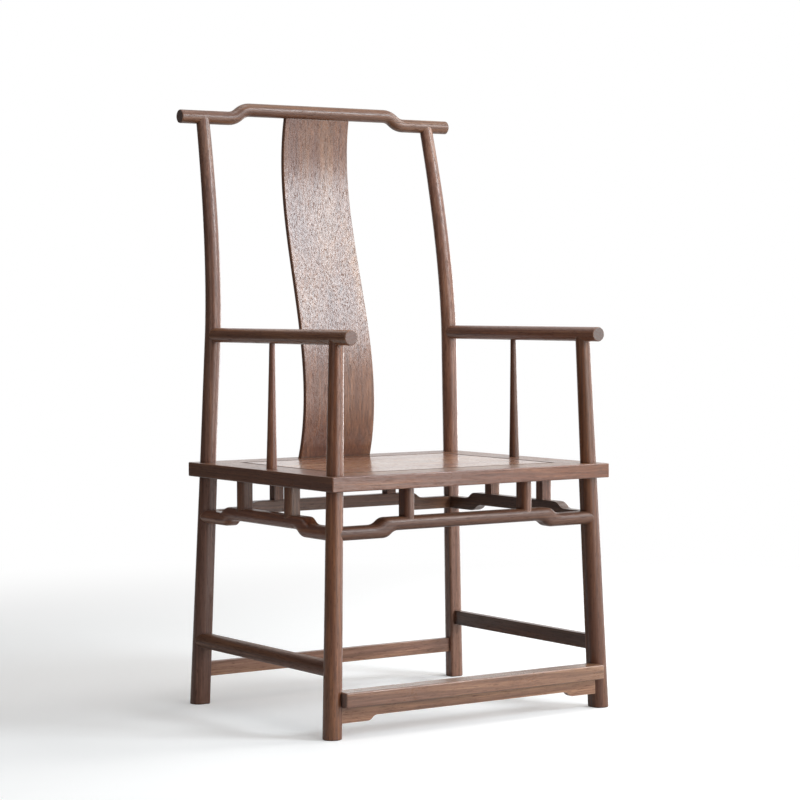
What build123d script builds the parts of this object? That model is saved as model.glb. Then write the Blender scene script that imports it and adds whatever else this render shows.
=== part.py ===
from build123d import *
import os

# Official's hat armchair: a rigid frame of sticks joined by mortise and tenon.
# Millimetres, +Z up. The chair's front faces -Y, and left and right are as seen from the front.
# The pieces are drawn about the middle of the seat. Before export they all move along Y by
# one amount, so that the origin lies on the floor under the middle of the whole chair.

os.makedirs("parts", exist_ok=True)

# ---------------------------------------------------------------- driving dimensions

# seat frame
seat_width = 602.0            # outside, left to right
seat_depth = 499.0            # outside, front to back
seat_height = 450.0           # floor to the top of the frame
rail_width = 74.0
rail_thickness = 26.0
corner_radius = 3.0           # of the frame, seen from above
frame_ease = 2.0              # rounding along the frame's outer edges

# floating panel and its battens
groove_depth = 8.0
panel_shadow_gap = 2.5        # open joint between panel and rails
panel_top_thickness = 7.0     # above the tongue
tongue_thickness = 7.0
tongue_length = 7.0
rim_ease = 0.8                # rounding on both sides of the open joint
batten_width = 28.0
batten_spacing = 220.0        # between the two battens
dovetail_neck = 18.0
dovetail_flare = 2.0          # on each side
dovetail_height = 3.0
batten_tenon_width = 16.0
batten_tenon_height = 7.0
batten_tenon_length = 10.0

# posts: one stick each from the floor to the arm or to the crest rail
post_inset_side = 25.0        # axis in from the seat's side edge, at the seat's top
post_inset_end = 31.5         # axis in from the seat's front or rear edge
splay_side = 15.9             # how far each foot stands out from there
splay_end = 12.5
foot_radius = 16.8
post_radius = 15.0            # at the seat
front_post_top_radius = 13.0
rear_post_top_radius = 12.4
foot_ease = 1.5
inner_corner_ease = 5.0       # of the square edge that the legs turn towards the middle
rear_post_lean = 70.0         # of the crest rail behind the straight line of the legs
lean_power = 1.58             # above the arms the post leans by this power of the height

# arm rails and their struts
arm_rise = 236.3              # of the rail's axis above the seat
arm_radius = 13.3
arm_overhang = 48.0           # in front of the front post's axis
end_ease = 2.0                # rounding of the free ends of the arms and the crest rail
arm_strut_inset = 31.0        # foot's axis in from the seat's side edge
arm_strut_foot_radius = 9.7
arm_strut_middle_radius = 7.0 # slimmer than half-way, so the strut is a little hollow
arm_strut_top_radius = 5.1

# crest rail
crest_above_arm = 406.1       # axis of the low ends above the arm's axis
crest_radius = 12.7
crest_rise = 17.0             # of the middle above the ends
crest_ramp = 46.0             # length of each step
crest_ramp_from_middle = 175.0
crest_overhang = 49.0         # outside the rear post's axis

# splat
splat_base_width = 158.0
splat_top_width = 143.0
splat_thickness = 10.0
splat_ease = 1.5
splat_from_rear_edge = 34.5   # middle of the base in from the seat's rear edge
splat_hollow = 18.2           # lumbar curve, forward of the base
splat_hollow_height = 123.0   # above the seat
splat_crossing = 17.5         # behind the base, on the way back to the shoulders
splat_crossing_height = 319.0
splat_shoulder = 11.0         # swell behind the crest rail's axis
splat_shoulder_drop = 98.0    # below the axis of the crest rail's raised middle

# humpback stretchers and the short struts on them
hump_height = 23.0
hump_depth = 28.0
hump_drop = 100.0             # of the low ends' axis below the top of the seat
hump_rise = 12.0
hump_round = 11.0             # rounding of the outer edges
hump_ramp = 32.0              # length of each step
hump_ramp_skew = 10.0         # the upper step lies this far out and the lower one this far in
hump_ramp_from_strut = 50.0
inner_ease = 1.0              # rounding of the inner edges of all stretchers
strut_width = 20.0
strut_set_back = 1.5          # of its round face behind the stretcher's outer face
strut_spacing_front = 256.0   # also at the rear
strut_spacing_side = 163.0

# foot stretchers, footrest and apron
foot_stretcher_height = 27.0
foot_stretcher_depth = 24.0
foot_stretcher_round = 13.0
side_stretcher_height = 119.2 # floor to axis
rear_stretcher_height = 64.2
footrest_thickness = 26.0
footrest_top = 81.5
footrest_front = 31.0         # in front of the legs' axes
footrest_back = 8.0           # behind them
footrest_end_inset = 9.0      # ends short of the legs' axes
footrest_ease = 2.5
apron_thickness = 12.0
apron_front = 9.0             # face in front of the legs' axes
apron_drop_end = 29.0
apron_drop_middle = 20.0
apron_end_length = 66.0       # deep part, from the leg's axis
apron_step = 20.0             # length of the curve up to the shallow part
apron_tongue = 5.0            # up into the footrest
apron_tongue_thickness = 5.0

# joinery
fit_gap = 0.2                 # clearance round a tenon
end_gap = 0.5                 # clearance at its end
flush_step = 0.4              # an outer face that ends on a round stick lies this much inside it
tip_blunting = 0.15           # share of a cope's depth cut off its thin tips, stick to round rail
stick_tenon_radius = 6.5
past_axis = 4.0               # how far a stick's tenon passes the axis of the stick it enters
arm_strut_tenon_radius = 3.6
arm_strut_peg_radius = 5.5    # tenon at the strut's foot
arm_strut_peg_length = 15.0
strut_tenon_radius = 5.0
strut_tenon_length = 10.0
hump_tenon_thickness = 7.0
hump_tenon_height = 15.0
hump_tenon_depth = 9.0        # two of these meet in each leg, so they stop short of the middle
foot_tenon_thickness = 9.0
foot_tenon_height = 18.0
foot_tenon_depth = 15.0
footrest_tenon_thickness = 12.0
footrest_tenon_height = 12.0
mitre_tenon_width = 15.0
mitre_tenon_thickness = 8.0
mitre_tenon_length = 18.0
mitre_tenon_margin = 9.0      # in from the rail's inner edge
splat_tenon_thickness = 5.0
splat_tenon_shoulder = 8.0    # on each side
splat_tenon_foot = 14.0       # down into the rear rail

# ---------------------------------------------------------------- heights and directions

rail_under = seat_height - rail_thickness
arm_height = seat_height + arm_rise
crest_height = arm_height + crest_above_arm
hump_low = seat_height - hump_drop
tongue_top = seat_height - panel_top_thickness
tongue_bottom = tongue_top - tongue_thickness
opening_width = seat_width - 2 * rail_width
opening_depth = seat_depth - 2 * rail_width
crest_top = crest_height + crest_rise
hump_high = hump_low + hump_rise
footrest_under = footrest_top - footrest_thickness

side_words = {-1: "left", 1: "right"}
end_words = {-1: "front", 1: "rear"}
outward = {
    "front": Vector(0, -1, 0),
    "rear": Vector(0, 1, 0),
    "left": Vector(-1, 0, 0),
    "right": Vector(1, 0, 0),
}
along = {
    "front": Vector(1, 0, 0),
    "rear": Vector(-1, 0, 0),
    "left": Vector(0, -1, 0),
    "right": Vector(0, 1, 0),
}


def corner_of(side, end):
    """Signs of x and y of the leg at one end of a side."""
    towards = outward[side] + along[side] * end
    return round(towards.X), round(towards.Y)


def is_cross_side(side):
    """True for the front and the rear, which run from left to right."""
    return side in ("front", "rear")


# ---------------------------------------------------------------- where the sticks run


def splay_share(z):
    """1 at the floor, 0 at the seat and negative above it."""
    return (seat_height - z) / seat_height


def leg_x(z):
    return seat_width / 2 - post_inset_side + splay_side * splay_share(z)


def leg_y(z):
    return seat_depth / 2 - post_inset_end + splay_end * splay_share(z)


def leg_radius(z):
    return foot_radius + (post_radius - foot_radius) * z / rail_under


def leg_point(corner, z):
    return Vector(corner[0] * leg_x(z), corner[1] * leg_y(z), z)


def share_above_arm(z):
    return max(0.0, (z - arm_height) / (crest_height - arm_height))


def rear_post_point(corner, z):
    """Axis of a rear post: in line with the leg up to the arm, then leaning back."""
    return leg_point(corner, z) + Vector(0, rear_post_lean * share_above_arm(z) ** lean_power, 0)


def leg_plane(corner, z):
    """Plane square to a leg's axis."""
    run = leg_point(corner, arm_height) - leg_point(corner, 0)
    return Plane(origin=leg_point(corner, z), x_dir=(1, 0, 0), z_dir=run)


def rear_post_plane(corner, z):
    """Plane square to a rear post's axis, above the arm."""
    if z <= arm_height:
        return leg_plane(corner, z)
    run = rear_post_point(corner, z + 1) - rear_post_point(corner, z - 1)
    return Plane(origin=rear_post_point(corner, z), x_dir=(1, 0, 0), z_dir=run)


def side_plane(side, z, distance=0.0):
    """Upright plane through the leg axes of a side, or further out by distance, with y up."""
    to_axes = leg_y(z) if is_cross_side(side) else leg_x(z)
    origin = outward[side] * (to_axes + distance) + Vector(0, 0, z)
    return Plane(origin=origin, x_dir=along[side], z_dir=outward[side])


def half_span(side, z):
    """From the middle of a side to the leg axis at its end."""
    return leg_x(z) if is_cross_side(side) else leg_y(z)


def outer_face(z):
    """How far a stretcher's outer face lies outside the leg axes."""
    return leg_radius(z) - flush_step


crest_y = rear_post_point((1, 1), crest_height).Y
splat_base_y = seat_depth / 2 - splat_from_rear_edge
apron_y = -leg_y(footrest_under) - apron_front + apron_thickness / 2

# ---------------------------------------------------------------- tenons
# Each function makes the tenon itself, or with gap=fit_gap the cutter for its mortise.


def end_clearance(gap):
    return end_gap if gap else 0.0


def round_tenon(root, tip, radius, gap):
    """Round bar from root to tip."""
    with BuildPart() as tenon:
        with BuildSketch(Plane(origin=root, z_dir=tip - root)):
            Circle(radius + gap)
        extrude(amount=(tip - root).length + end_clearance(gap))
    return tenon.part


def leg_tenon(side, z, end, thickness, height, depth, gap):
    """Flat tenon from a stretcher into the leg at one end of its side."""
    surface = half_span(side, z) - leg_radius(z)
    start = surface - leg_radius(z)
    origin = side_plane(side, z).origin + along[side] * (end * start)
    with BuildPart() as tenon:
        with BuildSketch(Plane(origin=origin, x_dir=outward[side], z_dir=along[side] * end)):
            Rectangle(thickness + 2 * gap, height + 2 * gap)
        extrude(amount=surface + depth - start + end_clearance(gap))
    return tenon.part


def hump_tenon(side, end, gap):
    sizes = hump_tenon_thickness, hump_tenon_height, hump_tenon_depth
    return leg_tenon(side, hump_low, end, *sizes, gap)


def foot_tenon(side, end, gap):
    """Tenon of a foot stretcher, or of the footrest at the front."""
    if side == "front":
        middle = footrest_top - footrest_thickness / 2
        sizes = footrest_tenon_thickness, footrest_tenon_height, foot_tenon_depth
        return leg_tenon(side, middle, end, *sizes, gap)
    z = rear_stretcher_height if side == "rear" else side_stretcher_height
    return leg_tenon(side, z, end, foot_tenon_thickness, foot_tenon_height, foot_tenon_depth, gap)


def mortises_in_leg(corner):
    """Cutters for the tenons of every stretcher that ends on one leg."""
    ends = [(side, end) for side in outward for end in (-1, 1) if corner_of(side, end) == corner]
    humps = [hump_tenon(side, end, fit_gap) for side, end in ends]
    feet = [foot_tenon(side, end, fit_gap) for side, end in ends]
    return humps + feet


def front_post_tenon(corner, gap):
    """Top of a front post, up into the arm."""
    root = leg_point(corner, arm_height - 2 * arm_radius)
    return round_tenon(root, leg_point(corner, arm_height + past_axis), stick_tenon_radius, gap)


def rear_post_tenon(corner, gap):
    """Top of a rear post, up into the crest rail."""
    top = rear_post_plane(corner, crest_height)
    root = top.origin - top.z_dir * (2 * crest_radius)
    return round_tenon(root, top.origin + top.z_dir * past_axis, stick_tenon_radius, gap)


def arm_tenon(corner, gap):
    """Rear end of an arm, back into the rear post."""
    axis_point = leg_point(corner, arm_height)
    root = axis_point - Vector(0, 2 * post_radius, 0)
    return round_tenon(root, axis_point + Vector(0, past_axis, 0), stick_tenon_radius, gap)


def arm_strut_point(sign, share):
    """Axis of an arm strut, from its foot on the seat rail to the arm rail's axis."""
    foot = Vector(sign * (seat_width / 2 - arm_strut_inset), 0, seat_height)
    top = Vector(sign * leg_x(arm_height), 0, arm_height)
    return foot + (top - foot) * share


def arm_strut_peg(sign, gap):
    """Foot of an arm strut, down into the seat rail."""
    foot = arm_strut_point(sign, 0)
    root = foot + Vector(0, 0, arm_strut_peg_length)
    return round_tenon(root, foot - Vector(0, 0, arm_strut_peg_length), arm_strut_peg_radius, gap)


def arm_strut_tenon(sign, gap):
    """Top of an arm strut, up into the arm."""
    top = arm_strut_point(sign, 1)
    root = top - Vector(0, 0, 2 * arm_radius)
    return round_tenon(root, top + Vector(0, 0, past_axis), arm_strut_tenon_radius, gap)


def strut_tenon(side, end, z, gap):
    """Round tenon of a short strut, the same length above and below height z."""
    plane = side_plane(side, hump_low, outer_face(hump_low) - hump_depth / 2)
    spacing = strut_spacing_front if is_cross_side(side) else strut_spacing_side
    middle = plane.origin + along[side] * (end * spacing / 2) + Vector(0, 0, z - hump_low)
    reach = Vector(0, 0, strut_tenon_length + end_clearance(gap))
    return round_tenon(middle - reach, middle + reach, strut_tenon_radius, gap)


def tip_plane(axis_plane, rail_radius, stick_radius):
    """Plane that cuts a cope's tips, from the plane square to the stick at the rail's axis."""
    to_tips = max(0.0, rail_radius**2 - stick_radius**2) ** 0.5
    cope_depth = rail_radius - to_tips
    return axis_plane.offset(-to_tips - tip_blunting * cope_depth)


def splat_blade(low, high, y, width, gap):
    """Flat tenon of the splat between two heights."""
    with BuildPart() as blade:
        with BuildSketch(Plane.XY.offset(low)):
            with Locations((0, y)):
                Rectangle(width - 2 * splat_tenon_shoulder + 2 * gap, splat_tenon_thickness + 2 * gap)
        extrude(amount=high - low)
    return blade.part


def splat_top_tenon(gap):
    low = crest_top - crest_radius - end_gap
    high = crest_top + past_axis + end_clearance(gap)
    return splat_blade(low, high, crest_y, splat_top_width, gap)


def splat_foot_tenon(gap):
    low = seat_height - splat_tenon_foot - end_clearance(gap)
    return splat_blade(low, seat_height + end_gap, splat_base_y, splat_base_width, gap)


def mitre_tenon(corner, gap):
    """Tenon of the front or rear rail across the mitre, between the groove and the post."""
    margin = mitre_tenon_margin + mitre_tenon_width / 2
    start = opening_width / 2 - mitre_tenon_margin
    end = opening_width / 2 + margin + mitre_tenon_length + end_clearance(gap)
    origin = (corner[0] * start, corner[1] * (opening_depth / 2 + margin), seat_height - rail_thickness / 2)
    with BuildPart() as tenon:
        with BuildSketch(Plane(origin=origin, x_dir=(0, 1, 0), z_dir=(corner[0], 0, 0))):
            Rectangle(mitre_tenon_width + 2 * gap, mitre_tenon_thickness + 2 * gap)
        extrude(amount=end - start)
    return tenon.part


def batten_tenons(sign, gap):
    """Bar through a batten whose ends are its two tenons."""
    half = opening_depth / 2 + batten_tenon_length + end_clearance(gap)
    origin = (sign * batten_spacing / 2, -half, (rail_under + tongue_bottom) / 2)
    with BuildPart() as bar:
        with BuildSketch(Plane(origin=origin, x_dir=(1, 0, 0), z_dir=(0, 1, 0))):
            Rectangle(batten_tenon_width + 2 * gap, batten_tenon_height + 2 * gap)
        extrude(amount=2 * half)
    return bar.part


def batten_dovetail(sign, half, gap):
    """Dovetailed ridge along a batten's top, which slides into the panel."""
    origin = (sign * batten_spacing / 2, half, tongue_bottom)
    neck = dovetail_neck / 2 + gap
    top = neck + dovetail_flare
    height = dovetail_height + gap
    with BuildPart() as ridge:
        with BuildSketch(Plane(origin=origin, x_dir=(1, 0, 0), z_dir=(0, -1, 0))):
            with BuildLine():
                Polyline((-neck, 0), (neck, 0), (top, height), (-top, height), close=True)
            make_face()
        extrude(amount=2 * half)
    return ridge.part


def apron_tongue_bar(gap):
    """Tongue along the apron's top edge, up into the footrest."""
    length = 2 * (leg_x(footrest_under) - 2 * foot_radius)
    with BuildPart() as tongue:
        with BuildSketch(Plane.XY.offset(footrest_under)):
            with Locations((0, apron_y)):
                Rectangle(length + 2 * gap, apron_tongue_thickness + 2 * gap)
        extrude(amount=apron_tongue + end_clearance(gap))
    return tongue.part


# ---------------------------------------------------------------- blanks: pieces before their joints


def leg_square(corner):
    """The leg's eased square edge towards the middle of the chair, ending under the seat frame."""
    below, above = -foot_radius, rail_under + post_radius
    with BuildPart() as square:
        for z in (below, above):
            width = leg_radius(z) - flush_step
            with BuildSketch(leg_plane(corner, z)):
                with Locations((-corner[0] * width / 2, -corner[1] * width / 2)):
                    Rectangle(width, width)
        loft(ruled=True)
        long_edges = [edge for edge in square.edges() if edge.length > rail_under]
        inner_edge = ShapeList(long_edges).sort_by(Axis((0, 0, 0), (-corner[0], -corner[1], 0)))[-1]
        fillet(inner_edge, radius=inner_corner_ease)
        split(bisect_by=Plane.XY.offset(rail_under), keep=Keep.BOTTOM)
    return square.part


def straight_stick(corner, arm_level_radius):
    """Leg and post in one tapered stick up to the arm's axis, with a flat eased foot."""
    below = -foot_radius
    square = leg_square(corner)
    radii = {below: leg_radius(below), rail_under: post_radius, arm_height: arm_level_radius}
    with BuildPart() as stick:
        for z, radius in radii.items():
            with BuildSketch(leg_plane(corner, z)):
                Circle(radius)
        loft(ruled=True)
        add(square)
        split(bisect_by=Plane.XY, keep=Keep.TOP)
        fillet(stick.edges().group_by(Axis.Z)[0], radius=foot_ease)
    return stick.part


def front_post_blank(corner):
    return straight_stick(corner, front_post_top_radius)


def rear_post_blank(corner):
    """Stick that goes on above the arm, bent back to the crest rail's axis."""
    stick = straight_stick(corner, post_radius)
    with BuildPart() as post:
        for share in (0.0, 0.25, 0.5, 0.75, 1.0):
            z = arm_height + (crest_height - arm_height) * share
            with BuildSketch(rear_post_plane(corner, z)):
                Circle(post_radius + (rear_post_top_radius - post_radius) * share)
        loft()
        add(stick)
    return post.part


def ogee(start, end):
    """S-curve of two equal arcs that leaves start and reaches end level."""
    middle = ((start[0] + end[0]) / 2, (start[1] + end[1]) / 2)
    run = Vector(end[0] - start[0], 0)
    TangentArc(start, middle, tangent=run)
    TangentArc(middle, end, tangent=-run, tangent_from_first=False)


def crest_blank():
    """Round bar whose middle steps up between two S-curves, with eased ends."""
    end_x = leg_x(crest_height) + crest_overhang
    step_out = crest_ramp_from_middle + crest_ramp / 2
    step_in = crest_ramp_from_middle - crest_ramp / 2
    elevation = Plane(origin=(0, crest_y, crest_height), x_dir=(1, 0, 0), z_dir=(0, -1, 0))
    with BuildPart() as crest:
        with BuildLine(elevation):
            Line((-end_x, 0), (-step_out, 0))
            ogee((-step_out, 0), (-step_in, crest_rise))
            Line((-step_in, crest_rise), (step_in, crest_rise))
            ogee((step_in, crest_rise), (step_out, 0))
            Line((step_out, 0), (end_x, 0))
        with BuildSketch(Plane(origin=(-end_x, crest_y, crest_height), z_dir=(1, 0, 0))):
            Circle(crest_radius)
        sweep()
        rims = crest.edges().group_by(Axis.X)
        fillet(rims[0] + rims[-1], radius=end_ease)
    return crest.part


def arm_blank(sign):
    """Round rail from its free front end back to the rear post's axis."""
    start = leg_point((sign, -1), arm_height) - Vector(0, arm_overhang, 0)
    with BuildPart() as arm:
        with BuildSketch(Plane(origin=start, z_dir=(0, 1, 0))):
            Circle(arm_radius)
        extrude(amount=arm_overhang + 2 * leg_y(arm_height))
        fillet(arm.edges().group_by(Axis.Y)[0], radius=end_ease)
    return arm.part


def seat_ring():
    """The four rails as one ring, with the panel's groove and the holes for the posts."""
    holes = []
    for corner in [(x_sign, y_sign) for x_sign in (-1, 1) for y_sign in (-1, 1)]:
        low = leg_point(corner, rail_under - rail_thickness)
        high = leg_point(corner, seat_height + rail_thickness)
        holes.append(round_tenon(low, high, post_radius, fit_gap))
    with BuildPart() as ring:
        with BuildSketch(Plane.XY.offset(rail_under)):
            RectangleRounded(seat_width, seat_depth, corner_radius)
            Rectangle(opening_width, opening_depth, mode=Mode.SUBTRACT)
        extrude(amount=rail_thickness)
        top = ring.faces().sort_by(Axis.Z)[-1]
        under = ring.faces().sort_by(Axis.Z)[0]
        fillet(top.outer_wire().edges() + under.outer_wire().edges(), radius=frame_ease)
        fillet(ring.faces().sort_by(Axis.Z)[-1].inner_wires()[0].edges(), radius=rim_ease)
        with BuildSketch(Plane.XY.offset(tongue_bottom - fit_gap)):
            Rectangle(opening_width + 2 * groove_depth, opening_depth + 2 * groove_depth)
        extrude(amount=tongue_thickness + 2 * fit_gap, mode=Mode.SUBTRACT)
        add(holes, mode=Mode.SUBTRACT)
    return ring.part


def ease_long_edges(piece, towards, run, radius):
    """Rounds the long edges of the flat face that looks one way."""
    face = piece.faces().filter_by(GeomType.PLANE).sort_by(Axis((0, 0, 0), towards))[-1]
    fillet(face.edges().sort_by(Axis((0, 0, 0), run))[1:-1], radius=radius)


def hump_blank(side):
    """Humpback stretcher: low at the legs and raised between two S-curves."""
    reach = half_span(side, hump_low)
    spacing = strut_spacing_front if is_cross_side(side) else strut_spacing_side
    step = spacing / 2 + hump_ramp_from_strut
    upper_out, upper_in = (step + hump_ramp_skew + half * hump_ramp / 2 for half in (1, -1))
    lower_out, lower_in = (step - hump_ramp_skew + half * hump_ramp / 2 for half in (1, -1))
    top, under = hump_height / 2, -hump_height / 2
    high_top, high_under = top + hump_rise, under + hump_rise
    with BuildPart() as hump:
        with BuildSketch(side_plane(side, hump_low, outer_face(hump_low) - hump_depth)):
            with BuildLine():
                Line((-reach, top), (-upper_out, top))
                ogee((-upper_out, top), (-upper_in, high_top))
                Line((-upper_in, high_top), (upper_in, high_top))
                ogee((upper_in, high_top), (upper_out, top))
                Polyline((upper_out, top), (reach, top), (reach, under), (lower_out, under))
                ogee((lower_out, under), (lower_in, high_under))
                Line((lower_in, high_under), (-lower_in, high_under))
                ogee((-lower_in, high_under), (-lower_out, under))
                Polyline((-lower_out, under), (-reach, under), (-reach, top))
            make_face()
        extrude(amount=hump_depth)
        ease_long_edges(hump, outward[side], along[side], hump_round)
        ease_long_edges(hump, -outward[side], along[side], inner_ease)
    return hump.part


# ---------------------------------------------------------------- finished pieces


def build_crest_rail(crest):
    mortises = [rear_post_tenon((sign, 1), fit_gap) for sign in (-1, 1)]
    mortises.append(splat_top_tenon(fit_gap))
    with BuildPart() as crest_rail:
        add(crest)
        add(mortises, mode=Mode.SUBTRACT)
    return crest_rail.part


def build_front_post(sign, blank, arm):
    tenon = front_post_tenon((sign, -1), 0)
    mortises = mortises_in_leg((sign, -1))
    tips = tip_plane(leg_plane((sign, -1), arm_height), arm_radius, front_post_top_radius)
    with BuildPart() as front_post:
        add(blank)
        add(arm, mode=Mode.SUBTRACT)
        split(bisect_by=tips, keep=Keep.BOTTOM)
        add(tenon)
        add(mortises, mode=Mode.SUBTRACT)
    return front_post.part


def build_rear_post(sign, blank, crest):
    tenon = rear_post_tenon((sign, 1), 0)
    mortises = mortises_in_leg((sign, 1))
    mortises.append(arm_tenon((sign, 1), fit_gap))
    tips = tip_plane(rear_post_plane((sign, 1), crest_height), crest_radius, rear_post_top_radius)
    with BuildPart() as rear_post:
        add(blank)
        add(crest, mode=Mode.SUBTRACT)
        split(bisect_by=tips, keep=Keep.BOTTOM)
        add(tenon)
        add(mortises, mode=Mode.SUBTRACT)
    return rear_post.part


def build_arm_rail(sign, blank, rear_post):
    tenon = arm_tenon((sign, 1), 0)
    mortises = [front_post_tenon((sign, -1), fit_gap), arm_strut_tenon(sign, fit_gap)]
    with BuildPart() as arm_rail:
        add(blank)
        add(rear_post, mode=Mode.SUBTRACT)
        add(tenon)
        add(mortises, mode=Mode.SUBTRACT)
    return arm_rail.part


def build_arm_strut(sign, arm):
    """Thin turned stick that slims upwards and is coped to the arm."""
    foot, top = arm_strut_point(sign, 0), arm_strut_point(sign, 1)
    length = (top - foot).length
    turning_plane = Plane(origin=foot, x_dir=(0, 1, 0), z_dir=Vector(0, 1, 0).cross(top - foot))
    tenons = [arm_strut_peg(sign, 0), arm_strut_tenon(sign, 0)]
    foot_rim = (arm_strut_foot_radius, 0)
    top_rim = (arm_strut_top_radius, length)
    tips = tip_plane(Plane(origin=top, z_dir=top - foot), arm_radius, arm_strut_top_radius)
    with BuildPart() as arm_strut:
        with BuildSketch(turning_plane):
            with BuildLine():
                ThreePointArc(foot_rim, (arm_strut_middle_radius, length / 2), top_rim)
                Polyline(top_rim, (0, length), (0, 0), foot_rim)
            make_face()
        revolve(axis=Axis(foot, top - foot))
        split(bisect_by=Plane.XY.offset(seat_height), keep=Keep.TOP)
        add(arm, mode=Mode.SUBTRACT)
        split(bisect_by=tips, keep=Keep.BOTTOM)
        add(tenons)
    return arm_strut.part


def build_splat(crest):
    """Plank bent to the sitter's back, a little wider at its base, coped under the crest rail."""
    curve = (
        (splat_base_y, seat_height),
        (splat_base_y - splat_hollow, seat_height + splat_hollow_height),
        (splat_base_y + splat_crossing, seat_height + splat_crossing_height),
        (crest_y + splat_shoulder, crest_top - splat_shoulder_drop),
        (crest_y, crest_top),
    )
    front_curve = [(y - splat_thickness / 2, z) for y, z in curve]
    back_curve = [(y + splat_thickness / 2, z) for y, z in curve]
    tenons = [splat_top_tenon(0), splat_foot_tenon(0)]
    with BuildPart() as splat:
        with BuildSketch(Plane.YZ):
            with BuildLine():
                Spline(front_curve)
                Line(front_curve[-1], back_curve[-1])
                Spline(back_curve)
                Line(back_curve[0], front_curve[0])
            make_face()
        extrude(amount=splat_base_width, both=True)
        with BuildSketch(Plane.XZ):
            with BuildLine():
                Polyline(
                    (-splat_base_width / 2, seat_height),
                    (splat_base_width / 2, seat_height),
                    (splat_top_width / 2, crest_top),
                    (-splat_top_width / 2, crest_top),
                    close=True,
                )
            make_face()
        extrude(amount=seat_depth, both=True, mode=Mode.INTERSECT)
        long_edges = [edge for edge in splat.edges() if edge.length > crest_top - seat_height]
        fillet(long_edges, radius=splat_ease)
        add(crest, mode=Mode.SUBTRACT)
        add(tenons)
    return splat.part


def build_seat_rail(side, ring):
    """One rail of the ring between its two mitres, with its share of the joints."""
    over = rail_thickness
    width, depth = seat_width / 2 + over, seat_depth / 2 + over
    inner_width, inner_depth = opening_width / 2 - over, opening_depth / 2 - over
    corners = [corner_of(side, end) for end in (-1, 1)]
    first, last = corners
    mortises = [strut_tenon(side, end, rail_under, fit_gap) for end in (-1, 1)]
    if is_cross_side(side):
        tenons = [mitre_tenon(corner, 0) for corner in corners]
        mortises += [batten_tenons(sign, fit_gap) for sign in (-1, 1)]
    else:
        tenons = []
        mortises += [mitre_tenon(corner, fit_gap) for corner in corners]
        mortises.append(arm_strut_peg(first[0], fit_gap))
    if side == "rear":
        mortises.append(splat_foot_tenon(fit_gap))
    with BuildPart() as seat_rail:
        add(ring)
        with BuildSketch(Plane.XY.offset(rail_under - over)):
            with BuildLine():
                Polyline(
                    (first[0] * width, first[1] * depth),
                    (last[0] * width, last[1] * depth),
                    (last[0] * inner_width, last[1] * inner_depth),
                    (first[0] * inner_width, first[1] * inner_depth),
                    close=True,
                )
            make_face()
        extrude(amount=rail_thickness + 2 * over, mode=Mode.INTERSECT)
        if tenons:
            add(tenons)
        add(mortises, mode=Mode.SUBTRACT)
    return seat_rail.part


def build_seat_panel():
    """Panel flush with the frame, with a tongue in the groove all round."""
    slots = [batten_dovetail(sign, seat_depth / 2, fit_gap) for sign in (-1, 1)]
    with BuildPart() as seat_panel:
        with BuildSketch(Plane.XY.offset(tongue_top)):
            Rectangle(opening_width - 2 * panel_shadow_gap, opening_depth - 2 * panel_shadow_gap)
        extrude(amount=panel_top_thickness)
        fillet(seat_panel.edges().group_by(Axis.Z)[-1], radius=rim_ease)
        with BuildSketch(Plane.XY.offset(tongue_bottom)):
            Rectangle(opening_width + 2 * tongue_length, opening_depth + 2 * tongue_length)
        extrude(amount=tongue_thickness)
        add(slots, mode=Mode.SUBTRACT)
    return seat_panel.part


def build_batten(sign):
    half = opening_depth / 2 - end_gap
    ridge = batten_dovetail(sign, half, 0)
    tenons = batten_tenons(sign, 0)
    with BuildPart() as batten:
        with BuildSketch(Plane.XY.offset(rail_under + end_gap)):
            with Locations((sign * batten_spacing / 2, 0)):
                Rectangle(batten_width, 2 * half)
        extrude(amount=tongue_bottom - rail_under - end_gap)
        add(ridge)
        add(tenons)
    return batten.part


def build_hump_stretcher(side, blank, posts):
    """Humpback stretcher, coped round the outside of both legs."""
    tenons = [hump_tenon(side, end, 0) for end in (-1, 1)]
    mortises = [strut_tenon(side, end, hump_high + hump_height / 2, fit_gap) for end in (-1, 1)]
    legs = [posts[corner_of(side, end)] for end in (-1, 1)]
    with BuildPart() as hump_stretcher:
        add(blank)
        add(legs, mode=Mode.SUBTRACT)
        add(tenons)
        add(mortises, mode=Mode.SUBTRACT)
    return hump_stretcher.part


def build_short_strut(side, end, hump):
    """Short strut, round outside and flat inside, coped over the humpback stretcher."""
    radius = strut_width / 2
    to_centre = outer_face(hump_low) - strut_set_back - radius
    to_inner_face = outer_face(hump_low) - hump_depth + inner_ease
    flat_depth = to_centre - to_inner_face
    spacing = strut_spacing_front if is_cross_side(side) else strut_spacing_side
    centre = side_plane(side, hump_low, to_centre).origin + along[side] * (end * spacing / 2)
    level = Plane(origin=(centre.X, centre.Y, hump_high), x_dir=along[side], z_dir=(0, 0, 1))
    tenons = [strut_tenon(side, end, z, 0) for z in (hump_high + hump_height / 2, rail_under)]
    with BuildPart() as short_strut:
        with BuildSketch(level):
            Circle(radius)
            with Locations((0, flat_depth / 2)):
                Rectangle(strut_width, flat_depth)
        extrude(amount=rail_under - hump_high)
        add(hump, mode=Mode.SUBTRACT)
        add(tenons)
    return short_strut.part


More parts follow.
